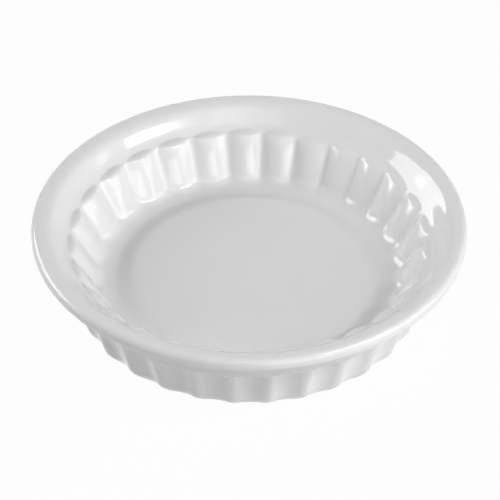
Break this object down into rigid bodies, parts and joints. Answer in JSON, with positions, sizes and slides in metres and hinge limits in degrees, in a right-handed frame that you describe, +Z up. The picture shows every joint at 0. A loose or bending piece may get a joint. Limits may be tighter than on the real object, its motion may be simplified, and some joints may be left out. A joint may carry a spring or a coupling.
{
  "type": "fluted mini ramekin",
  "caption": "Shallow round glazed porcelain baking dish with a fluted wall, a broad sloping rim and a foot ring.",
  "frame": {"origin": "centre of the face that the foot ring stands on", "axes": "+Z up along the dish's axis, out of its mouth; -Y faces the camera"},
  "size_m": [0.12, 0.12, 0.0274],
  "materials": {
    "white_glaze": "gloss white glaze over porcelain, unglazed on the foot ring's face"
  },
  "bodies": {
    "root": {"ramekin_body": "white_glaze"}
  },
  "joints": []
}
